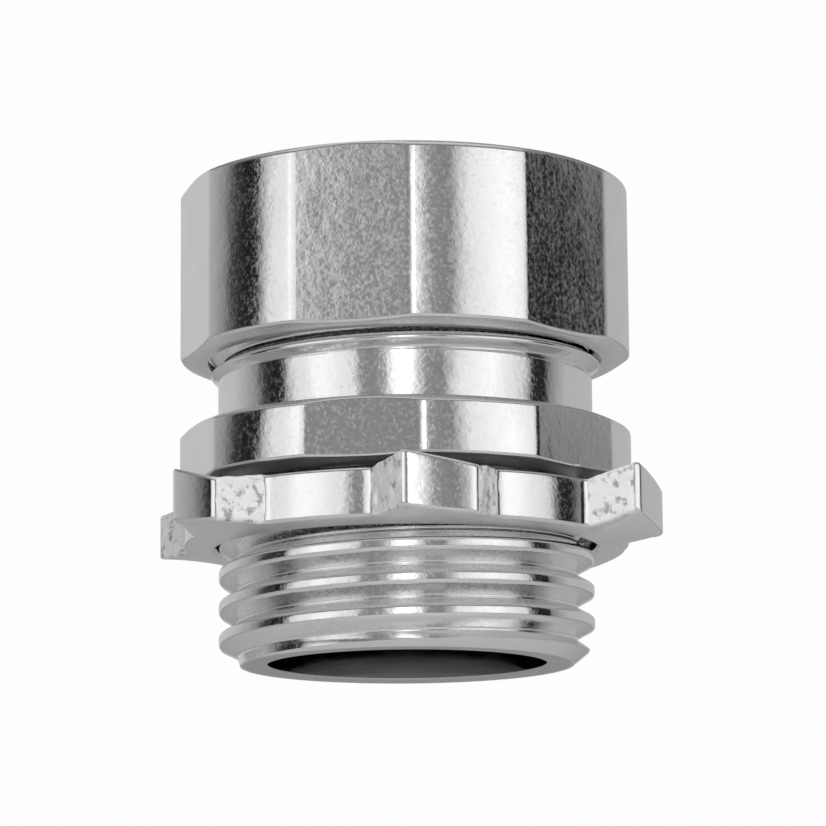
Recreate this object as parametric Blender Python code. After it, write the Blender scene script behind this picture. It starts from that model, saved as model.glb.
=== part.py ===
"""Compression connector for 1/2 in thin-wall conduit: body, gland ring, gland nut and locknut.

Metres, +Z up. The origin is the centre of the end face of the conduit thread, and every piece
turns or slides on the Z axis. All four pieces are turned shapes: a closed loop of rows goes up
the outside, over the top and down the inside, and each row holds one point per column, where a
column is a direction round the axis. A helical thread is a stretch of rows that climb by one
pitch per turn.
"""

import math

import bmesh
import bpy

MM = 0.001
SECTORS = 6
SECTOR = math.tau / SECTORS
FRONT = -math.pi / 2  # the direction of -Y, from which the turns of the hexagons are counted

# The tube that the fitting grips, and the ways through the body
TUBE_RADIUS = 8.965 * MM
SOCKET_RADIUS = TUBE_RADIUS + 0.135 * MM
WIREWAY_RADIUS = 7.75 * MM
WIREWAY_BREAK = 0.1 * MM
SOCKET_FLOOR = 10.5 * MM
MOUTH_RADIUS = 10.0 * MM
MOUTH_DEPTH = 1.2 * MM
BREAK = 0.3 * MM  # the chamfer round the nut's opening

# Conduit thread, at the bottom
CONDUIT_PITCH = 1.814 * MM
CONDUIT_CREST = 10.475 * MM
CONDUIT_ROOT = 9.5 * MM
CONDUIT_CREST_FLAT = 0.3 * MM
CONDUIT_CREST_HEIGHT = 5.907 * MM  # of a crest at +X
CONDUIT_RIM = 9.3 * MM
CONDUIT_LEAD = 0.94 * MM
CONDUIT_TOP = 9.3 * MM
CONDUIT_RUN_OUT = 1.0 * MM

# Hexagon flange, cut from a round bar: flats joined by round corners
BAR_RADIUS = 12.64 * MM
FLAT_RADIUS = 12.2 * MM
FLANGE_BOTTOM = 9.84 * MM
FLANGE_TOP = 13.19 * MM
FLANGE_TURN = math.radians(-11.0)
FLANGE_FACE_BELOW = 12.05 * MM
FLANGE_FACE_ABOVE = 11.9 * MM
FLANGE_SLOPE_BELOW = 0.2
FLANGE_SLOPE_ABOVE = 0.5

# Neck and gland thread, at the top of the body
NECK_RADIUS = 10.51 * MM
NECK_TOP = 15.9 * MM
GLAND_PITCH = 1.27 * MM
GLAND_CREST = 10.95 * MM
GLAND_ROOT = 10.25 * MM
GLAND_CREST_FLAT = 0.2 * MM
GLAND_CREST_HEIGHT = 16.8475 * MM  # of a crest at +X
GLAND_RUN_OUT = 0.4 * MM
GLAND_RIM = 10.35 * MM
GLAND_LEAD = 0.6 * MM
BODY_TOP = 22.5 * MM

# Gland nut
THREAD_CLEARANCE = 0.3 * MM
NUT_BOTTOM = 17.04 * MM
NUT_TOP = 27.09 * MM
NUT_TURN = math.radians(-13.5)
NUT_FACE_BELOW = 11.8 * MM
NUT_FACE_ABOVE = 12.0 * MM
NUT_SLOPE_BELOW = 0.31
NUT_SLOPE_ABOVE = 0.45
NUT_COUNTERSINK = 11.1 * MM
NUT_COUNTERSINK_DEPTH = 0.5 * MM
NUT_THREAD_TOP = 23.7 * MM
NUT_OPENING = SOCKET_RADIUS + 0.25 * MM
NUT_OPENING_LAND = 0.6 * MM
SEAT_FOOT = 24.3 * MM
SEAT_RADIUS = 10.75 * MM

# Gland ring, split so that it can close on the tube
RING_GAP = 0.3 * MM
RING_BORE = TUBE_RADIUS + 0.085 * MM
RING_RADIUS = 10.35 * MM
RING_BOTTOM = 22.15 * MM
RING_TOP = 25.47 * MM
SLIT_WIDTH = 1.5 * MM
SLIT_DIRECTION = math.radians(120)
RING_COLUMNS = 49

# Locknut: a ring with six tapered lugs, each bent up at one end to bite the box wall
LOCKNUT_BORE = CONDUIT_CREST + 0.15 * MM
LOCKNUT_COUNTERSINK = 10.85 * MM
LOCKNUT_COUNTERSINK_DEPTH = 0.25 * MM
LOCKNUT_RADIUS = 12.45 * MM
LOCKNUT_BOTTOM = 6.38 * MM  # at the bore: the underside is dished, so its edge is higher
LOCKNUT_EDGE_BOTTOM = 6.56 * MM
LOCKNUT_TOP = 9.24 * MM
LUG_RADIUS = 14.55 * MM
LUG_TURN = math.radians(7.2)
LUG_HALF_ROOT = math.radians(15.9)
LUG_HALF_TIP = math.radians(7.9)
LUG_BITING_END = (7.4 * MM, 10.12 * MM)  # bottom and top of the lug's tip
LUG_TRAILING_END = (6.6 * MM, 9.1 * MM)

MERGE_DISTANCE = 1e-6
SHARP_ANGLE = math.radians(28)


def clear_scene():
    for thing in list(bpy.data.objects):
        bpy.data.objects.remove(thing, do_unlink=True)


def mix(start, end, share):
    return start + (end - start) * share


def zinc_plate(name, colour, roughness):
    material = bpy.data.materials.new(name)
    material.use_nodes = True
    shader = material.node_tree.nodes["Principled BSDF"]
    shader.inputs["Base Color"].default_value = (*colour, 1.0)
    shader.inputs["Metallic"].default_value = 1.0
    shader.inputs["Roughness"].default_value = roughness
    return material


def spread(middle, half_width, steps):
    """Directions from one side of middle to the other, both ends included."""
    return [middle + half_width * (2 * i / steps - 1) for i in range(steps + 1)]


def hexagon_columns(turn, flat_steps=4, corner_steps=4):
    """Directions that put a column on each edge between a flat and a round corner."""
    half_flat = math.acos(FLAT_RADIUS / BAR_RADIUS)
    columns = []
    for sector in range(SECTORS):
        flat = FRONT + turn + sector * SECTOR
        columns += spread(flat, half_flat, flat_steps)
        columns += spread(flat + SECTOR / 2, SECTOR / 2 - half_flat, corner_steps)[1:-1]
    return columns


def hexagon_radius(direction, turn):
    off_flat = (direction - FRONT - turn + SECTOR / 2) % SECTOR - SECTOR / 2
    return min(BAR_RADIUS, FLAT_RADIUS / math.cos(off_flat))


def round_row(columns, radius, height):
    return [(direction, radius, height) for direction in columns]


def hexagon_row(columns, turn, face_radius, face_height, slope):
    """The edge where a conical chamfer, which starts at the end face, meets the hexagon's side."""
    row = []
    for direction in columns:
        radius = hexagon_radius(direction, turn)
        row.append((direction, radius, face_height + (radius - face_radius) * slope))
    return row


def thread_rows(columns, pitch, crest, root, crest_flat, crest_height, low, high):
    """Rows of a right-hand 60 degree thread, from bottom to top, and the row that each one
    joins after a full turn. low and high give the height and radius of the thread's ends, and
    the length over which its ridge fades into that radius."""
    flank = (crest - root) * math.tan(math.radians(30))
    turn_of_points = (
        (-crest_flat / 2, crest),
        (crest_flat / 2, crest),
        (crest_flat / 2 + flank, root),
        (pitch - crest_flat / 2 - flank, root),
    )
    low_height, low_radius, low_fade = low
    high_height, high_radius, high_fade = high
    first = math.floor((low_height - crest_height) / pitch) - 2
    last = math.ceil((high_height - crest_height) / pitch) + 1
    start = columns[0]
    rows = []
    for turn in range(first, last + 1):
        for offset, radius in turn_of_points:
            row = []
            for direction in columns:
                climb = pitch * (direction - start) / math.tau
                height = crest_height + pitch * start / math.tau + turn * pitch + offset + climb
                height = min(max(height, low_height), high_height)
                up = min((height - low_height) / low_fade, 1)
                down = min((high_height - height) / high_fade, 1)
                faded = mix(low_radius, radius, up)
                row.append((direction, mix(high_radius, faded, down), height))
            rows.append(row)
    joins = [min(i + len(turn_of_points), len(rows) - 1) for i in range(len(rows))]
    return rows, joins


def turned(name, stretches, material, closed=True):
    """A solid from stretches of rows. A stretch is one row, or a thread's rows with their joins.
    A row's points are (direction, radius, height), one for each column."""
    rows, joins = [], []
    for stretch in stretches:
        stretch_rows, stretch_joins = stretch if isinstance(stretch, tuple) else ([stretch], [0])
        joins += [len(rows) + i for i in stretch_joins]
        rows += stretch_rows

    mesh = bmesh.new()
    points = [
        [
            mesh.verts.new((radius * math.cos(direction), radius * math.sin(direction), height))
            for direction, radius, height in row
        ]
        for row in rows
    ]

    def add_face(corners):
        corners = list(dict.fromkeys(corners))
        if len(corners) > 2:
            mesh.faces.new(corners)

    for i in range(len(rows)):
        above = (i + 1) % len(rows)
        for j in range(len(rows[i]) - 1):
            add_face((points[i][j], points[i][j + 1], points[above][j + 1], points[above][j]))
        if closed:
            add_face((points[i][-1], points[joins[i]][0], points[joins[above]][0], points[above][-1]))
    if not closed:
        add_face([row[0] for row in points])
        add_face([row[-1] for row in reversed(points)])

    bmesh.ops.remove_doubles(mesh, verts=mesh.verts, dist=MERGE_DISTANCE)
    bmesh.ops.dissolve_degenerate(mesh, edges=mesh.edges, dist=MERGE_DISTANCE)
    bmesh.ops.recalc_face_normals(mesh, faces=mesh.faces)
    data = bpy.data.meshes.new(name)
    mesh.to_mesh(data)
    mesh.free()
    data.shade_smooth()
    data.set_sharp_from_angle(angle=SHARP_ANGLE)
    data.materials.append(material)
    thing = bpy.data.objects.new(name, data)
    bpy.context.scene.collection.objects.link(thing)
    return thing


def upside_down(thread):
    """The same thread with its rows from top to bottom, for the inside of a nut."""
    rows, joins = thread
    last = len(rows) - 1
    return rows[::-1], [last - joins[last - i] for i in range(len(rows))]


def set_origin(thing, height):
    """Moves the object's origin up its axis, and leaves its shape where it is."""
    for vertex in thing.data.vertices:
        vertex.co.z -= height
    thing.location.z = height


def connector_body():
    columns = hexagon_columns(FLANGE_TURN)

    def row(radius, height):
        return round_row(columns, radius, height)

    conduit_thread = thread_rows(
        columns, CONDUIT_PITCH, CONDUIT_CREST, CONDUIT_ROOT, CONDUIT_CREST_FLAT,
        CONDUIT_CREST_HEIGHT,
        low=(0.0, CONDUIT_RIM, CONDUIT_LEAD),
        high=(CONDUIT_TOP, CONDUIT_ROOT, CONDUIT_RUN_OUT),
    )
    gland_thread = thread_rows(
        columns, GLAND_PITCH, GLAND_CREST, GLAND_ROOT, GLAND_CREST_FLAT, GLAND_CREST_HEIGHT,
        low=(NECK_TOP, NECK_RADIUS, GLAND_RUN_OUT),
        high=(BODY_TOP, GLAND_RIM, GLAND_LEAD),
    )
    flange_side_bottom = hexagon_row(
        columns, FLANGE_TURN, FLANGE_FACE_BELOW, FLANGE_BOTTOM, FLANGE_SLOPE_BELOW
    )
    flange_side_top = hexagon_row(
        columns, FLANGE_TURN, FLANGE_FACE_ABOVE, FLANGE_TOP, -FLANGE_SLOPE_ABOVE
    )
    stretches = [
        conduit_thread,
        row(CONDUIT_ROOT, FLANGE_BOTTOM),
        row(FLANGE_FACE_BELOW, FLANGE_BOTTOM),
        flange_side_bottom,
        flange_side_top,
        row(FLANGE_FACE_ABOVE, FLANGE_TOP),
        row(NECK_RADIUS, FLANGE_TOP),
        gland_thread,
        row(MOUTH_RADIUS, BODY_TOP),
        row(SOCKET_RADIUS, BODY_TOP - MOUTH_DEPTH),
        row(SOCKET_RADIUS, SOCKET_FLOOR),
        row(WIREWAY_RADIUS, SOCKET_FLOOR),
        row(WIREWAY_RADIUS, WIREWAY_BREAK),
        row(WIREWAY_RADIUS + WIREWAY_BREAK, 0.0),
    ]
    return turned("connector_body", stretches, zinc_plate("body_zinc", (0.72, 0.73, 0.74), 0.24))


def gland_nut():
    columns = hexagon_columns(NUT_TURN)

    def row(radius, height):
        return round_row(columns, radius, height)

    thread = thread_rows(
        columns, GLAND_PITCH, GLAND_CREST + THREAD_CLEARANCE, GLAND_ROOT + THREAD_CLEARANCE,
        GLAND_CREST_FLAT, GLAND_CREST_HEIGHT,
        low=(NUT_BOTTOM, NUT_COUNTERSINK, NUT_COUNTERSINK_DEPTH),
        high=(NUT_THREAD_TOP, GLAND_CREST + THREAD_CLEARANCE, GLAND_RUN_OUT),
    )
    stretches = [
        row(NUT_FACE_BELOW, NUT_BOTTOM),
        hexagon_row(columns, NUT_TURN, NUT_FACE_BELOW, NUT_BOTTOM, NUT_SLOPE_BELOW),
        hexagon_row(columns, NUT_TURN, NUT_FACE_ABOVE, NUT_TOP, -NUT_SLOPE_ABOVE),
        row(NUT_FACE_ABOVE, NUT_TOP),
        row(NUT_OPENING + BREAK, NUT_TOP),
        row(NUT_OPENING, NUT_TOP - BREAK),
        row(NUT_OPENING, NUT_TOP - BREAK - NUT_OPENING_LAND),
        row(SEAT_RADIUS, SEAT_FOOT),
        row(GLAND_CREST + THREAD_CLEARANCE, SEAT_FOOT),
        upside_down(thread),
    ]
    nut = turned("gland_nut", stretches, zinc_plate("nut_zinc", (0.74, 0.75, 0.76), 0.22))
    set_origin(nut, NUT_BOTTOM)
    return nut


def gland_ring():
    half_slit = math.asin(SLIT_WIDTH / 2 / RING_RADIUS)
    columns = spread(SLIT_DIRECTION + math.pi, math.pi - half_slit, RING_COLUMNS - 1)

    def row(radius, height):
        return round_row(columns, radius, height)

    mouth_slope = (MOUTH_RADIUS - SOCKET_RADIUS) / MOUTH_DEPTH
    mouth_at_bottom = MOUTH_RADIUS - (BODY_TOP - RING_BOTTOM) * mouth_slope
    lower_toe = mouth_at_bottom - RING_GAP * math.hypot(1, mouth_slope)
    lower_cone_top = RING_BOTTOM + (RING_RADIUS - lower_toe) / mouth_slope

    seat_height = NUT_TOP - BREAK - NUT_OPENING_LAND - SEAT_FOOT
    seat_slope = (SEAT_RADIUS - NUT_OPENING) / seat_height
    seat_at_top = SEAT_RADIUS - (RING_TOP - SEAT_FOOT) * seat_slope
    upper_toe = seat_at_top - RING_GAP * math.hypot(1, seat_slope)
    upper_cone_foot = RING_TOP - (RING_RADIUS - upper_toe) / seat_slope
    stretches = [
        row(lower_toe, RING_BOTTOM),
        row(RING_RADIUS, lower_cone_top),
        row(RING_RADIUS, upper_cone_foot),
        row(upper_toe, RING_TOP),
        row(RING_BORE, RING_TOP),
        row(RING_BORE, RING_BOTTOM),
    ]
    ring = turned(
        "gland_ring", stretches, zinc_plate("ring_zinc", (0.68, 0.68, 0.67), 0.3), closed=False
    )
    set_origin(ring, RING_BOTTOM)
    return ring


def locknut():
    """Each column has a direction on the ring and one on the outer edge, which differ on a lug,
    because a lug is narrower at its tip than at its root."""
    ring_half = SECTOR / 2 - LUG_HALF_ROOT
    columns, edge = [], []
    for sector in range(SECTORS):
        lug = FRONT + LUG_TURN + sector * SECTOR
        across = spread(lug, LUG_HALF_ROOT, 4)
        columns += across
        for step, direction in enumerate(spread(lug, LUG_HALF_TIP, 4)):
            edge.append((direction, step / 4))
        between = spread(lug + SECTOR / 2, ring_half, 4)
        columns += between
        edge += [(direction, None) for direction in between]

    def edge_row(end, ring_height):
        """The lugs' tips and, between them, the plain ring. end is 0 for their bottom, 1 for their top."""
        row = []
        for direction, share in edge:
            if share is None:
                row.append((direction, LOCKNUT_RADIUS, ring_height))
            else:
                height = mix(LUG_BITING_END[end], LUG_TRAILING_END[end], share)
                row.append((direction, LUG_RADIUS, height))
        return row

    def row(radius, height):
        return round_row(columns, radius, height)

    stretches = [
        row(LOCKNUT_COUNTERSINK, LOCKNUT_BOTTOM),
        row(LOCKNUT_RADIUS, LOCKNUT_EDGE_BOTTOM),
        edge_row(0, LOCKNUT_EDGE_BOTTOM),
        edge_row(1, LOCKNUT_TOP),
        row(LOCKNUT_RADIUS, LOCKNUT_TOP),
        row(LOCKNUT_BORE, LOCKNUT_TOP),
        row(LOCKNUT_BORE, LOCKNUT_BOTTOM + LOCKNUT_COUNTERSINK_DEPTH),
    ]
    nut = turned("locknut", stretches, zinc_plate("locknut_zinc", (0.76, 0.77, 0.78), 0.26))
    set_origin(nut, LOCKNUT_BOTTOM)
    return nut


def build():
    clear_scene()
    body = connector_body()
    ring = gland_ring()
    nut = gland_nut()
    lower_nut = locknut()
    bpy.context.view_layer.update()
    for child, parent in ((ring, body), (nut, ring), (lower_nut, body)):
        child.parent = parent
        child.matrix_parent_inverse = parent.matrix_world.inverted()


build()
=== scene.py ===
"""Looks for the conduit compression connector: fine turned meshes, zinc plate, studio and camera.

Lengths are in millimetres until a mesh is made, and directions are angles round the Z axis,
counted from +X. Every piece is a set of rows of points: a row goes once round the axis, and the
rows follow the piece's section, outwards or up the outside first and down the inside last.
"""

import math

import bmesh
import bpy
import numpy as np
from mathutils import Matrix, Vector, noise


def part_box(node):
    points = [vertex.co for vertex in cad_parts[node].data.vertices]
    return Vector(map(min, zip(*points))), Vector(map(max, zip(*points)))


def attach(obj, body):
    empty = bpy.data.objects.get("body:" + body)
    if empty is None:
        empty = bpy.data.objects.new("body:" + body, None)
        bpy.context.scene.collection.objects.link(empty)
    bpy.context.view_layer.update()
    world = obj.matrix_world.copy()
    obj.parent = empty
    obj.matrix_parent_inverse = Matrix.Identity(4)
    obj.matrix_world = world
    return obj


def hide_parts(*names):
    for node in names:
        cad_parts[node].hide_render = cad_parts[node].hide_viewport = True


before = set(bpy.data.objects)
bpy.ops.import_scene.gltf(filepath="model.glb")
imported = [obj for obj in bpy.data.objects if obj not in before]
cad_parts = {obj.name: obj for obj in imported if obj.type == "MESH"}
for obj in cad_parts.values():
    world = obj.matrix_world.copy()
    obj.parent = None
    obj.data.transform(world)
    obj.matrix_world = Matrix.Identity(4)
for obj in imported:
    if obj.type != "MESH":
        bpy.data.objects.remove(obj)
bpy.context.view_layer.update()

MM = 0.001
SECTORS = 6
SECTOR = math.tau / SECTORS
FRONT = -math.pi / 2
MERGE_DISTANCE = 2e-7
SHARP_ANGLE = math.radians(32)


def box_mm(node):
    """The lowest and highest height of a CAD node, and its reach from the axis."""
    low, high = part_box(node)
    return low.z / MM, high.z / MM, max(high.x, high.y) / MM


_, BODY_TOP, _ = box_mm("connector_body")
NUT_BOTTOM, NUT_TOP, _ = box_mm("gland_nut")
RING_BOTTOM, RING_TOP, RING_RADIUS = box_mm("gland_ring")
LOCKNUT_BOTTOM, _, LUG_RADIUS = box_mm("locknut")

# The round bar that both hexagons are cut from. Their chamfers rise by a share of their width.
BAR_RADIUS = 12.64
FLAT_RADIUS = 12.2

# Body
SOCKET_RADIUS = 9.1
SOCKET_FLOOR = 10.5
WIREWAY_RADIUS = 7.75
MOUTH_RADIUS = 10.0
MOUTH_DEPTH = 1.2
FLANGE_BOTTOM = 9.84
FLANGE_TOP = 13.19
FLANGE_TURN = math.radians(-11.0)
FLANGE_FACE_BELOW = 12.05
FLANGE_FACE_ABOVE = 11.9
FLANGE_CHAMFER_BELOW = 0.2
FLANGE_CHAMFER_ABOVE = 0.5
NECK_RADIUS = 10.51
NECK_TOP = 15.9
NECK_LAST_STRIP = 0.1
WIREWAY_BREAK = 0.1

# Threads: pitch, crest and root radius, width of the flat crest, height that a flank takes,
# how far the crest's and the root's corners are eased, and height of a crest at +X
CONDUIT_THREAD = dict(
    pitch=1.814, crest=10.475, root=9.5, crest_flat=0.62, flank=0.53, eased=(0.17, 0.06),
    crest_height=5.857,
)
CONDUIT_RIM = 9.3
CONDUIT_TOP = 9.3
GLAND_THREAD = dict(
    pitch=1.27, crest=10.95, root=10.25, crest_flat=0.2, flank=0.404, eased=(0.08, 0.08),
    crest_height=16.8475,
)
GLAND_RIM = 10.35
THREAD_CLEARANCE = 0.3

# Gland nut
NUT_TURN = math.radians(-13.5)
NUT_FACE_BELOW = 11.8
NUT_FACE_ABOVE = 12.0
NUT_CHAMFER_BELOW = 0.31
NUT_CHAMFER_ABOVE = 0.45
NUT_MOUTH = 11.1
NUT_OPENING = 9.35
NUT_OPENING_BREAK = 0.3
NUT_THREAD_TOP = 23.7
SEAT_FOOT = 24.3
SEAT_RADIUS = 10.75
SEAT_TOP = NUT_TOP - 0.9

# Gland ring
RING_BORE = 9.05
RING_FACE_BELOW = 9.36
RING_FACE_ABOVE = 9.51
RING_BARREL_BOTTOM = 23.47
RING_BARREL_TOP = 24.33
SLIT_WIDTH = 1.5
SLIT_DIRECTION = math.radians(120)

# Locknut: a lug's side is a straight line in plan, SIDE_DISTANCE from the axis
LOCKNUT_BORE = 10.625
BORE_EDGE = 10.85
BORE_EDGE_DEPTH = 0.25
BORE_BREAK = 0.1
LOCKNUT_RADIUS = 12.45
LOCKNUT_EDGE_BOTTOM = 6.56
LOCKNUT_TOP = 9.24
LUG_TURN = math.radians(7.2)
LUG_HALF_TIP = math.radians(7.9)
LUG_HALF_ROOT = math.radians(15.9)
SIDE_DIRECTION = math.radians(60)
SIDE_DISTANCE = 8.94
# Each lug's tip, from the front one to the right: bottom and top of its biting end, bottom and
# top of its trailing end, and its reach. The first two and the last show plainly in the
# photograph, and the others are guesses.
LUGS = [
    (6.85, 9.88, 6.42, 9.05, 14.55),
    (7.53, 10.28, 6.62, 9.1, 14.68),
    (7.4, 10.12, 6.6, 9.1, 14.55),
    (7.3, 10.05, 6.6, 9.1, 14.5),
    (7.4, 10.12, 6.6, 9.1, 14.55),
    (7.27, 10.14, 6.75, 9.05, 14.55),
]


# ---------------------------------------------------------------- shape tools


def hexagon_columns(turn, per_flat=26, per_corner=26):
    """Directions round the axis, with one on each edge between a flat and a round corner."""
    half_flat = math.acos(FLAT_RADIUS / BAR_RADIUS)
    columns = []
    for sector in range(SECTORS):
        flat = FRONT + turn + sector * SECTOR
        columns += list(np.linspace(flat - half_flat, flat + half_flat, per_flat))
        corner = flat + SECTOR / 2
        half_corner = SECTOR / 2 - half_flat
        columns += list(np.linspace(corner - half_corner, corner + half_corner, per_corner))[1:-1]
    return np.array(columns)


def hexagon_radius(columns, turn):
    off_flat = (columns - FRONT - turn + SECTOR / 2) % SECTOR - SECTOR / 2
    return np.minimum(BAR_RADIUS, FLAT_RADIUS / np.cos(off_flat))


def path(columns, corners, steps=4):
    """Rows along a section. A corner is (radius, height, rounding); radius and height may
    differ from column to column. The rounding is a curve that starts that far from the corner."""
    count = len(columns)
    points = [
        np.stack([np.broadcast_to(np.asarray(value, float), count) for value in corner[:2]], 1)
        for corner in corners
    ]
    rows = []
    for i, point in enumerate(points):
        rounding = corners[i][2] if 0 < i < len(points) - 1 else 0
        if not rounding:
            rows.append(point)
            continue
        ends = []
        for other in (points[i - 1], points[i + 1]):
            along = other - point
            length = np.linalg.norm(along, axis=1, keepdims=True)
            reach = np.minimum(rounding, 0.45 * length)
            ends.append(point + along * reach / np.maximum(length, 1e-9))
        for t in np.linspace(0, 1, steps + 1):
            rows.append(ends[0] * (1 - t) ** 2 + point * 2 * t * (1 - t) + ends[1] * t**2)
    return place(columns, rows)


def place(columns, rows):
    """Rows of (radius, height) as rows of (x, y, z), each joining itself after a full turn."""
    placed = [
        np.stack([row[:, 0] * np.cos(columns), row[:, 0] * np.sin(columns), row[:, 1]], 1)
        for row in rows
    ]
    return placed, list(range(len(placed)))


def eased_corner(before, corner, after, ease, steps=4):
    """Points of a short curve that replaces a corner of a section."""
    ends = [
        corner + (other - corner) * ease / np.linalg.norm(other - corner)
        for other in (before, after)
    ]
    return [
        ends[0] * (1 - t) ** 2 + corner * 2 * t * (1 - t) + ends[1] * t**2
        for t in np.linspace(0, 1, steps + 1)
    ]


def thread(columns, low, high, pitch, crest, root, crest_flat, flank, eased, crest_height):
    """Rows of a right-hand thread from bottom to top, and the row that each one joins after a
    full turn. low and high are (height, radius, length of the fade) at its two ends."""
    half = crest_flat / 2
    corners = [
        np.array(corner) for corner in (
            (half + flank - pitch, root),
            (-half - flank, root),
            (-half, crest),
            (half, crest),
            (half + flank, root),
            (pitch - half - flank, root),
            (pitch - half, crest),
        )
    ]
    one_turn = []
    for i in range(2, 6):
        ease = eased[0] if i < 4 else eased[1]
        one_turn += eased_corner(corners[i - 1], corners[i], corners[i + 1], ease)
    start = columns[0]
    climb = pitch * (columns - start) / math.tau
    base = crest_height + pitch * start / math.tau
    first = math.floor((low[0] - crest_height) / pitch) - 2
    last = math.ceil((high[0] - crest_height) / pitch) + 1
    rows = []
    for turn in range(first, last + 1):
        for offset, radius in one_turn:
            height = np.clip(base + turn * pitch + offset + climb, low[0], high[0])
            up = np.minimum((height - low[0]) / low[2], 1)
            down = np.minimum((high[0] - height) / high[2], 1)
            faded = low[1] + (radius - low[1]) * up
            rows.append(np.stack([high[1] + (faded - high[1]) * down, height], 1))
    placed, _ = place(columns, rows)
    joins = [min(i + len(one_turn), len(rows) - 1) for i in range(len(rows))]
    return placed, joins


def upside_down(band):
    rows, joins = band
    last = len(rows) - 1
    return rows[::-1], [last - joins[last - i] for i in range(len(rows))]


def solid(name, bands, body, material, closed=True):
    """A closed mesh from bands of rows, in order round the section, riding on its CAD body."""
    rows, joins = [], []
    for band_rows, band_joins in bands:
        joins += [len(rows) + j for j in band_joins]
        rows += band_rows
    count = len(rows[0])
    points = np.concatenate(rows) * MM
    faces = []
    for i in range(len(rows)):
        above = (i + 1) % len(rows)
        for j in range(count - 1):
            faces.append((i * count + j, i * count + j + 1, above * count + j + 1, above * count + j))
        if closed:
            corners = (i * count + count - 1, joins[i] * count, joins[above] * count,
                       above * count + count - 1)
            corners = tuple(dict.fromkeys(corners))
            if len(corners) > 2:
                faces.append(corners)
    if not closed:
        faces.append(tuple(i * count for i in range(len(rows))))
        faces.append(tuple(i * count + count - 1 for i in reversed(range(len(rows)))))
    data = bpy.data.meshes.new(name)
    data.from_pydata(points.tolist(), [], faces)
    mesh = bmesh.new()
    mesh.from_mesh(data)
    bmesh.ops.remove_doubles(mesh, verts=mesh.verts, dist=MERGE_DISTANCE)
    bmesh.ops.dissolve_degenerate(mesh, edges=mesh.edges, dist=MERGE_DISTANCE)
    bmesh.ops.recalc_face_normals(mesh, faces=mesh.faces)
    mesh.to_mesh(data)
    mesh.free()
    data.shade_smooth()
    data.set_sharp_from_angle(angle=SHARP_ANGLE)
    data.materials.append(material)
    thing = bpy.data.objects.new(name, data)
    bpy.context.scene.collection.objects.link(thing)
    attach(thing, body)
    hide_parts(body)
    return thing


# ---------------------------------------------------------------- materials


class Nodes:
    """A small helper that adds and links nodes of one tree."""

    def __init__(self, tree):
        self.tree = tree

    def add(self, kind, inputs=None, **settings):
        node = self.tree.nodes.new(kind)
        for key, value in settings.items():
            setattr(node, key, value)
        for key, value in (inputs or {}).items():
            if isinstance(value, bpy.types.NodeSocket):
                self.tree.links.new(value, node.inputs[key])
            else:
                node.inputs[key].default_value = value
        return node

    def ramp(self, value, stops, interpolation="LINEAR"):
        node = self.add("ShaderNodeValToRGB", {"Fac": value})
        node.color_ramp.interpolation = interpolation
        elements = node.color_ramp.elements
        while len(elements) < len(stops):
            elements.new(0.5)
        for element, (position, level) in zip(elements, stops):
            element.position = position
            colour = level if isinstance(level, tuple) else (level, level, level)
            element.color = (*colour, 1)
        return node.outputs["Color"]


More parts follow.
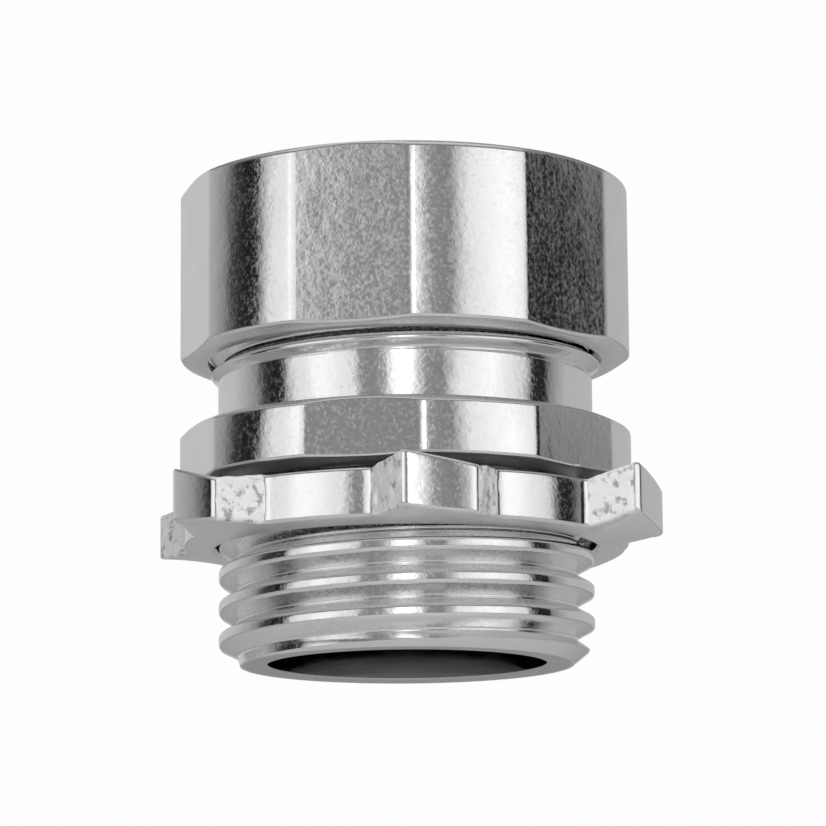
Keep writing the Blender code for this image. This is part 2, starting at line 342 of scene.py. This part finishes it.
def zinc(name, grain=1.0, tone=(0.88, 0.885, 0.89), roughness=(0.03, 0.08), bore=0.0, calm_from=99.0,
         torn=False):
    """Bright zinc plate: a mirror with a fine orange peel, dull grains, clouds and a few pits.
    Faces across the axis are satin, and within the radius called bore the plate is smooth and
    darker, a painted shade of the bore's hollow. Beyond calm_from along +X it has hardly any grains."""
    material = bpy.data.materials.new(name)
    material.use_nodes = True
    tree = material.node_tree
    tree.nodes.clear()
    nodes = Nodes(tree)
    coordinates = nodes.add("ShaderNodeTexCoord").outputs
    to_mm = nodes.add(
        "ShaderNodeMapping", {"Vector": coordinates["Object"], "Scale": (1 / MM,) * 3}
    )
    position = to_mm.outputs["Vector"]

    def noise_of(scale, detail=2.0, rough=0.5):
        made = nodes.add(
            "ShaderNodeTexNoise",
            {"Vector": position, "Scale": scale, "Detail": detail, "Roughness": rough},
        )
        return made.outputs["Fac"]

    peel = noise_of(2.6, 2.0)
    waves = noise_of(0.5, 1.0)
    clouds = noise_of(0.35, 3.0)
    mottle = noise_of(4.4, 2.0)
    pits = nodes.ramp(noise_of(5.5, 1.0), [(0.0, 0.0), (0.3, 0.0), (0.36, 1.0)])

    flat = nodes.add("ShaderNodeMapping", {"Vector": position, "Scale": (1.0, 1.0, 0.0)})
    reach = nodes.add(
        "ShaderNodeVectorMath", {0: flat.outputs["Vector"]}, operation="LENGTH"
    ).outputs["Value"]
    outside = nodes.add(
        "ShaderNodeMapRange",
        {"Value": reach, "From Min": bore, "From Max": bore + 0.3, "To Min": 0.04},
    ).outputs["Result"]
    # Painted shade: within the bore radius the base colour is darkened to 0.62, standing in for the
    # shade in the bore's hollow.
    bore_painted_shade = nodes.ramp(outside, [(0.04, 0.62 if bore else 1.0), (1.0, 1.0)])

    fine = nodes.add(
        "ShaderNodeBump", {"Height": peel, "Strength": outside, "Distance": 0.008 * MM * grain}
    )
    broad = nodes.add(
        "ShaderNodeBump",
        {"Height": waves, "Strength": outside, "Distance": 0.02 * MM, "Normal": fine.outputs["Normal"]},
    )
    faint = nodes.add("ShaderNodeMath", {0: outside, 1: 0.25}, operation="MULTIPLY").outputs[0]
    pitted = nodes.add(
        "ShaderNodeBump",
        {"Height": pits, "Strength": faint, "Distance": 0.006 * MM, "Normal": broad.outputs["Normal"]},
    )
    normal = pitted.outputs["Normal"]

    dark = tuple(0.96 * level for level in tone)
    cloudy = nodes.ramp(clouds, [(0.35, dark), (0.65, tone)])
    colour = nodes.add(
        "ShaderNodeMix", {0: 1.0, 6: cloudy, 7: bore_painted_shade}, data_type="RGBA", blend_type="MULTIPLY"
    ).outputs[2]
    shine = nodes.ramp(clouds, [(0.3, roughness[1]), (0.7, roughness[0])])
    facing = nodes.add("ShaderNodeSeparateXYZ", {"Vector": coordinates["Normal"]}).outputs["Z"]
    across = nodes.add("ShaderNodeMath", {0: facing}, operation="ABSOLUTE").outputs[0]
    satin = nodes.add(
        "ShaderNodeMapRange",
        {"Value": across, "From Min": 0.8, "From Max": 0.97, "To Min": 0.0, "To Max": 0.24},
    ).outputs["Result"]
    along = nodes.add("ShaderNodeSeparateXYZ", {"Vector": position}).outputs["X"]
    calm = nodes.add(
        "ShaderNodeMapRange",
        {
            "Value": along, "From Min": calm_from, "From Max": calm_from + 1.5,
            "To Min": 1.0, "To Max": 0.1,
        },
    ).outputs["Result"]
    grains = nodes.ramp(mottle, [(0.36, 0.0), (0.7, 0.18 * grain)])
    kept = nodes.add("ShaderNodeMath", {0: outside, 1: calm}, operation="MULTIPLY").outputs[0]
    shown = nodes.add("ShaderNodeMath", {0: grains, 1: kept}, operation="MULTIPLY").outputs[0]
    dull = nodes.add("ShaderNodeMath", {0: shine, 1: satin}, operation="ADD").outputs[0]
    rough = nodes.add("ShaderNodeMath", {0: dull, 1: shown}, operation="ADD").outputs[0]

    shader = nodes.add(
        "ShaderNodeBsdfPrincipled",
        {"Base Color": colour, "Metallic": 1.0, "Roughness": rough, "Normal": normal},
    )
    surface = shader.outputs["BSDF"]
    if torn:
        surface = with_torn_edges(nodes, position, surface)
    output = nodes.add("ShaderNodeOutputMaterial")
    tree.links.new(surface, output.inputs["Surface"])
    return material


def with_torn_edges(nodes, position, smooth_surface):
    """Where the mesh says torn, the smooth plate gives way to crumbled, sheared metal."""
    crumbs = nodes.add(
        "ShaderNodeTexNoise",
        {"Vector": position, "Scale": 1.7, "Detail": 3.0, "Roughness": 0.6},
    ).outputs["Fac"]
    bump = nodes.add("ShaderNodeBump", {"Height": crumbs, "Strength": 1.0, "Distance": 0.16 * MM})
    colour = nodes.ramp(crumbs, [(0.36, (0.45, 0.45, 0.45)), (0.47, (0.98, 0.98, 0.98))])
    rough_metal = nodes.add(
        "ShaderNodeBsdfPrincipled",
        {"Base Color": colour, "Metallic": 0.4, "Roughness": 0.35, "Normal": bump.outputs["Normal"]},
    )
    torn = nodes.add("ShaderNodeAttribute", attribute_name="torn").outputs["Fac"]
    edge = nodes.add(
        "ShaderNodeTexNoise", {"Vector": position, "Scale": 1.1, "Detail": 3.0}
    ).outputs["Fac"]
    ragged = nodes.add("ShaderNodeMath", {0: torn, 1: edge}, operation="ADD").outputs[0]
    share = nodes.add(
        "ShaderNodeMapRange", {"Value": ragged, "From Min": 0.95, "From Max": 1.1}
    ).outputs["Result"]
    mixed = nodes.add(
        "ShaderNodeMixShader", {0: share, 1: smooth_surface, 2: rough_metal.outputs["BSDF"]}
    )
    return mixed.outputs["Shader"]


# ---------------------------------------------------------------- pieces


def make_body():
    """The neck ends in a narrow strip, so that the thread's slant doesn't shade the whole neck."""
    columns = hexagon_columns(FLANGE_TURN)
    side = hexagon_radius(columns, FLANGE_TURN)
    chamfer_below = (side - FLANGE_FACE_BELOW) * FLANGE_CHAMFER_BELOW
    chamfer_above = (side - FLANGE_FACE_ABOVE) * FLANGE_CHAMFER_ABOVE
    lower = thread(
        columns, low=(0.0, CONDUIT_RIM, 0.94), high=(CONDUIT_TOP, CONDUIT_THREAD["root"], 1.0),
        **CONDUIT_THREAD,
    )
    flange = path(columns, [
        (CONDUIT_THREAD["root"], CONDUIT_TOP, 0),
        (CONDUIT_THREAD["root"], FLANGE_BOTTOM, 0.2),
        (FLANGE_FACE_BELOW, FLANGE_BOTTOM, 0.15),
        (side, FLANGE_BOTTOM + chamfer_below, 0.14),
        (side, FLANGE_TOP - chamfer_above, 0.12),
        (FLANGE_FACE_ABOVE, FLANGE_TOP, 0.12),
        (NECK_RADIUS, FLANGE_TOP, 0.3),
        (NECK_RADIUS, NECK_TOP - NECK_LAST_STRIP, 0),
        (NECK_RADIUS, NECK_TOP, 0),
    ])
    upper = thread(
        columns, low=(NECK_TOP, NECK_RADIUS, 0.4), high=(BODY_TOP, GLAND_RIM, 0.6), **GLAND_THREAD
    )
    bore = path(columns, [
        (GLAND_RIM, BODY_TOP, 0),
        (MOUTH_RADIUS, BODY_TOP, 0.1),
        (SOCKET_RADIUS, BODY_TOP - MOUTH_DEPTH, 0.2),
        (SOCKET_RADIUS, SOCKET_FLOOR, 0.15),
        (WIREWAY_RADIUS, SOCKET_FLOOR, 0.15),
        (WIREWAY_RADIUS, WIREWAY_BREAK, 0.05),
        (WIREWAY_RADIUS + WIREWAY_BREAK, 0.0, 0.05),
        (CONDUIT_RIM, 0.0, 0),
    ])
    return solid("fine_body", [lower, flange, upper, bore], "connector_body",
                 zinc("zinc_on_body", bore=9.0, calm_from=6.5))


def make_nut():
    columns = hexagon_columns(NUT_TURN)
    side = hexagon_radius(columns, NUT_TURN)
    chamfer_below = (side - NUT_FACE_BELOW) * NUT_CHAMFER_BELOW
    chamfer_above = (side - NUT_FACE_ABOVE) * NUT_CHAMFER_ABOVE
    groove = GLAND_THREAD["crest"] + THREAD_CLEARANCE
    inner_thread = dict(GLAND_THREAD, crest=groove, root=GLAND_THREAD["root"] + THREAD_CLEARANCE)
    outside = path(columns, [
        (NUT_MOUTH, NUT_BOTTOM, 0),
        (NUT_FACE_BELOW, NUT_BOTTOM, 0.15),
        (side, NUT_BOTTOM + chamfer_below, 0.16),
        (side, NUT_TOP - chamfer_above, 0.2),
        (NUT_FACE_ABOVE, NUT_TOP, 0.3),
        (NUT_OPENING + NUT_OPENING_BREAK, NUT_TOP, 0.15),
        (NUT_OPENING, NUT_TOP - NUT_OPENING_BREAK, 0.15),
        (NUT_OPENING, SEAT_TOP, 0.2),
        (SEAT_RADIUS, SEAT_FOOT, 0.1),
        (groove, SEAT_FOOT, 0.1),
        (groove, NUT_THREAD_TOP, 0),
    ])
    inside = upside_down(thread(
        columns, low=(NUT_BOTTOM, NUT_MOUTH, 0.5), high=(NUT_THREAD_TOP, groove, 0.4), **inner_thread
    ))
    return solid("fine_gland_nut", [outside, inside], "gland_nut", zinc("zinc_on_nut"))


def make_ring():
    half_slit = math.asin(SLIT_WIDTH / 2 / RING_RADIUS)
    columns = np.linspace(SLIT_DIRECTION + half_slit, SLIT_DIRECTION + math.tau - half_slit, 181)
    middle = (RING_BOTTOM + RING_TOP) / 2
    rows, joins = path(columns, [
        (RING_BORE, middle, 0),
        (RING_BORE, RING_BOTTOM, 0.06),
        (RING_FACE_BELOW, RING_BOTTOM, 0.06),
        (RING_RADIUS, RING_BARREL_BOTTOM, 0.25),
        (RING_RADIUS, RING_BARREL_TOP, 0.25),
        (RING_FACE_ABOVE, RING_TOP, 0.06),
        (RING_BORE, RING_TOP, 0.06),
        (RING_BORE, middle, 0),
    ])
    return solid("fine_gland_ring", [(rows[:-1], joins[:-1])], "gland_ring",
                 zinc("zinc_on_ring", tone=(0.8, 0.8, 0.79), roughness=(0.15, 0.25)), closed=False)


def soft_least(a, b, sharpness):
    return -np.log(np.exp(-sharpness * a) + np.exp(-sharpness * b)) / sharpness


def lug_shares(columns):
    """For each direction: which lug it is nearest to, its turn from that lug's middle, and its
    place between the lug's biting end, 0, and its trailing end, 1."""
    turned = columns - FRONT - LUG_TURN + SECTOR / 2
    lug = np.floor(turned / SECTOR + 1e-9).astype(int) % SECTORS
    off = turned % SECTOR - SECTOR / 2
    return lug, off, np.clip(off / (2 * LUG_HALF_TIP) + 0.5, 0, 1)


def locknut_outline(off, reach):
    """The plan radius: a plain ring, and lugs with straight slanting sides and eased corners."""
    side = SIDE_DISTANCE / np.cos(SIDE_DIRECTION - np.abs(off))
    lug = soft_least(side, reach, 9.0)
    return -soft_least(-lug, np.full_like(lug, -LOCKNUT_RADIUS), 12.0)


def make_locknut():
    """Columns are radial. Their outer end follows the plan outline, and a lug's bottom and top
    climb with the radius to its tip, most at its biting end."""
    columns = []
    for sector in range(SECTORS):
        middle = FRONT + LUG_TURN + sector * SECTOR
        stops = (-SECTOR / 2, -LUG_HALF_ROOT, -LUG_HALF_TIP, LUG_HALF_TIP, LUG_HALF_ROOT, SECTOR / 2)
        for start, end, steps in zip(stops, stops[1:], (12, 30, 26, 30, 12)):
            columns += list(np.linspace(middle + start, middle + end, steps, endpoint=False))
    columns = np.array(columns)
    lug, off, share = lug_shares(columns)
    tips = np.array(LUGS)[lug]
    tip_bottom = tips[:, 0] + (tips[:, 2] - tips[:, 0]) * share**0.6
    tip_top = tips[:, 1] + (tips[:, 3] - tips[:, 1]) * share
    outline = locknut_outline(off, tips[:, 4])
    slant = np.gradient(outline, columns) / outline
    widen = np.sqrt(1 + slant**2)

    def climb(radius):
        return np.clip((radius - LOCKNUT_RADIUS) / (LUG_RADIUS - LOCKNUT_RADIUS), 0, 1)

    def bottom_at(radius):
        dish = np.clip((radius - BORE_EDGE) / (LOCKNUT_RADIUS - BORE_EDGE), 0, 1)
        plain = LOCKNUT_BOTTOM + (LOCKNUT_EDGE_BOTTOM - LOCKNUT_BOTTOM) * dish
        return plain + (tip_bottom - LOCKNUT_EDGE_BOTTOM) * climb(radius)

    def top_at(radius):
        return LOCKNUT_TOP + (tip_top - LOCKNUT_TOP) * climb(radius)

    soft_low, soft_high = 0.18, 0.22  # radii of the outer edges, below and above
    count = len(columns)
    sections = [(np.full(count, LOCKNUT_BORE), np.full(count, LOCKNUT_BOTTOM + BORE_EDGE_DEPTH))]
    for t in (0.0, 0.04, 0.35, 0.7, 0.9):
        radius = BORE_EDGE + (outline - soft_low * widen - BORE_EDGE) * t
        sections.append((radius, bottom_at(radius)))
    first_of_side = len(sections)
    for angle in np.linspace(0, math.pi / 2, 6):
        radius = outline - soft_low * widen * (1 - math.sin(angle))
        sections.append((radius, bottom_at(radius) + soft_low * (1 - math.cos(angle))))
    foot, head = bottom_at(outline) + soft_low, top_at(outline) - soft_high
    for t in np.linspace(0, 1, 12)[1:-1]:
        sections.append((outline, foot + (head - foot) * t))
    for angle in np.linspace(0, math.pi / 2, 6):
        radius = outline - soft_high * widen * (1 - math.cos(angle))
        sections.append((radius, top_at(radius) - soft_high * (1 - math.sin(angle))))
    last_of_side = len(sections)
    for t in (0.9, 0.7, 0.35, 0.0):
        inner = LOCKNUT_BORE + BORE_BREAK
        radius = inner + (outline - soft_high * widen - LOCKNUT_BORE - BORE_BREAK) * t
        sections.append((radius, top_at(radius)))
    sections.append((np.full(count, LOCKNUT_BORE), np.full(count, LOCKNUT_TOP - BORE_BREAK)))

    rows = [
        np.stack([radius * np.cos(columns), radius * np.sin(columns), height], 1)
        for radius, height in sections
    ]
    on_side = (np.abs(off) > LUG_HALF_TIP + 0.012) & (np.abs(off) < LUG_HALF_ROOT)
    for row in rows[first_of_side:last_of_side]:
        crumble(row, columns, off, on_side)
    nut = solid("fine_locknut", [(rows, list(range(len(rows))))], "locknut",
                zinc("zinc_on_locknut", grain=0.8, torn=True))
    mark_torn(nut)
    return nut


def crumble(row, columns, off, on_side):
    """Roughens a row's points where they lie on a lug's sheared side."""
    for j in np.nonzero(on_side)[0]:
        outward = columns[j] - off[j] + math.copysign(SIDE_DIRECTION, off[j])
        point = Vector(row[j])
        ease = min(1, (LUG_HALF_ROOT - abs(off[j])) / 0.03, (abs(off[j]) - LUG_HALF_TIP) / 0.02)
        push = 0.11 * noise.noise(point * 1.1) + 0.05 * noise.noise(point * 2.9)
        row[j, 0] += ease * push * math.cos(outward)
        row[j, 1] += ease * push * math.sin(outward)
        row[j, 2] += ease * 0.07 * noise.noise(point * 1.6 + Vector((9, 0, 0)))


def mark_torn(nut):
    """Marks the points on the lugs' slanting sides."""
    data = nut.data
    attribute = data.attributes.new("torn", "FLOAT", "POINT")
    for vertex in data.vertices:
        x, y, _ = (value / MM for value in vertex.co)
        radius = math.hypot(x, y)
        off = (math.atan2(y, x) - FRONT - LUG_TURN + SECTOR / 2) % SECTOR - SECTOR / 2
        side = SIDE_DISTANCE / math.cos(SIDE_DIRECTION - abs(off))
        near = min(max((0.45 - abs(radius - side)) / 0.2, 0), 1)
        along = min(max((radius - LOCKNUT_RADIUS - 0.02) / 0.15, 0), 1)
        along *= min(max((LUG_RADIUS - radius - 0.05) / 0.15, 0), 1)
        attribute.data[vertex.index].value = near * along


# ---------------------------------------------------------------- studio and camera

# Lengths and places here are in metres
FLOOR_DROP = 0.075  # how far the floor lies under the fitting, which the camera looks up at
FLOOR_RADIUS = 2.2
BACKDROP = 0.985
KEY_PLACE = Vector((0.06, -0.38, 0.34))
KEY_SIZE = 0.25
KEY_ENERGY = 1.3
CAMERA_PLACE = (0.0, -0.21719, -0.0243)
CAMERA_TILT = math.radians(10.072)
CAMERA_ROLL = math.radians(-0.438)
CAMERA_LENS = 170.88  # millimetres
CAMERA_SHIFT = 0.0093

# The surroundings by azimuth, in degrees from the camera's side, positive to +X, and brightness.
# The stops come from readings of the photograph's brightness along the neck, changed
# until the plate's reflections followed it.
STUDIO = [
    (-180, 0.6), (-130, 0.55), (-113, 0.40), (-104, 0.27), (-98, 0.05), (-88, 0.012), (-80, 0.02),
    (-76, 0.5), (-71, 0.85), (-63, 0.88), (-57, 1.1), (-49, 1.08), (-41, 0.94), (-31, 0.85),
    (-28, 0.27), (-19, 0.24), (-12, 0.40), (-7, 1.2), (0, 1.9), (4, 1.3), (8, 0.75), (12, 0.28),
    (23, 0.22), (32, 0.87), (42, 1.0), (55, 1.15), (65, 0.95), (78, 0.75), (84, 0.02), (95.5, 0.015),
    (98, 0.22), (116, 0.49),
]


def make_world():
    """A tent of soft boxes and black flags, the same at every height near the horizon. The
    camera itself sees a plain pale backdrop instead."""
    world = bpy.data.worlds.new("studio")
    world.use_nodes = True
    tree = world.node_tree
    tree.nodes.clear()
    nodes = Nodes(tree)
    direction = nodes.add("ShaderNodeTexCoord").outputs["Generated"]
    parts = nodes.add("ShaderNodeSeparateXYZ", {"Vector": direction}).outputs
    behind = nodes.add("ShaderNodeMath", {0: parts["Y"], 1: -1.0}, operation="MULTIPLY").outputs[0]
    azimuth = nodes.add("ShaderNodeMath", {0: parts["X"], 1: behind}, operation="ARCTAN2").outputs[0]
    share = nodes.add(
        "ShaderNodeMapRange", {"Value": azimuth, "From Min": -math.pi, "From Max": math.pi}
    ).outputs["Result"]
    around = nodes.ramp(share, [((angle + 180) / 360, level) for angle, level in STUDIO])
    height = nodes.add(
        "ShaderNodeMapRange", {"Value": parts["Z"], "From Min": -1.0, "From Max": 1.0}
    ).outputs["Result"]
    away = nodes.ramp(height, [(0.0, 1.0), (0.3, 1.0), (0.42, 0.0), (0.68, 0.0), (0.78, 1.0)])
    tent = nodes.ramp(height, [(0.0, 0.62), (0.5, 0.62), (0.72, 0.2), (0.84, 0.2), (0.94, 0.62)])
    lit = nodes.add("ShaderNodeMix", {0: away, 6: around, 7: tent}, data_type="RGBA")
    seen = nodes.add("ShaderNodeLightPath").outputs["Is Camera Ray"]
    backdrop = nodes.add(
        "ShaderNodeMix", {0: seen, 6: lit.outputs[2], 7: (BACKDROP,) * 3 + (1,)}, data_type="RGBA"
    )
    background = nodes.add("ShaderNodeBackground", {"Color": backdrop.outputs[2], "Strength": 1.0})
    output = nodes.add("ShaderNodeOutputWorld")
    tree.links.new(background.outputs["Background"], output.inputs["Surface"])
    bpy.context.scene.world = world


def make_floor():
    bpy.ops.mesh.primitive_circle_add(
        vertices=96, radius=FLOOR_RADIUS, fill_type="NGON", location=(0, 0, -FLOOR_DROP)
    )
    floor = bpy.context.object
    floor.name = "floor"
    material = bpy.data.materials.new("pale_paper")
    material.use_nodes = True
    nodes = Nodes(material.node_tree)
    shader = material.node_tree.nodes["Principled BSDF"]
    coordinate = nodes.add("ShaderNodeTexCoord").outputs["Object"]
    fibre = nodes.add("ShaderNodeTexNoise", {"Vector": coordinate, "Scale": 60.0, "Detail": 4.0})
    colour = nodes.ramp(fibre.outputs["Fac"], [(0.3, 0.66), (0.7, 0.69)])
    material.node_tree.links.new(colour, shader.inputs["Base Color"])
    shader.inputs["Roughness"].default_value = 0.9
    floor.data.materials.append(material)


def make_key_light():
    """A large soft lamp, above and in front, that the mirrors don't show."""
    data = bpy.data.lights.new("key", "AREA")
    data.size = KEY_SIZE
    data.energy = KEY_ENERGY
    key = bpy.data.objects.new("key", data)
    key.matrix_world = (
        Matrix.Translation(KEY_PLACE) @ KEY_PLACE.to_track_quat("Z", "Y").to_matrix().to_4x4()
    )
    key.visible_glossy = False
    bpy.context.scene.collection.objects.link(key)


def make_camera():
    """The photograph's view: from the front, ten degrees below, through a long lens."""
    data = bpy.data.cameras.new("camera")
    data.sensor_width = 36.0
    data.lens = CAMERA_LENS
    data.shift_x = CAMERA_SHIFT
    data.clip_start, data.clip_end = 0.01, 20.0
    camera = bpy.data.objects.new("camera", data)
    camera.matrix_world = (
        Matrix.Translation(CAMERA_PLACE)
        @ Matrix.Rotation(math.pi / 2 + CAMERA_TILT, 4, "X")
        @ Matrix.Rotation(CAMERA_ROLL, 4, "Z")
    )
    bpy.context.scene.collection.objects.link(camera)
    bpy.context.scene.camera = camera
    bpy.context.scene.view_settings.view_transform = "Standard"


make_camera()
make_world()
make_key_light()
make_floor()
make_body()
make_nut()
make_ring()
make_locknut()
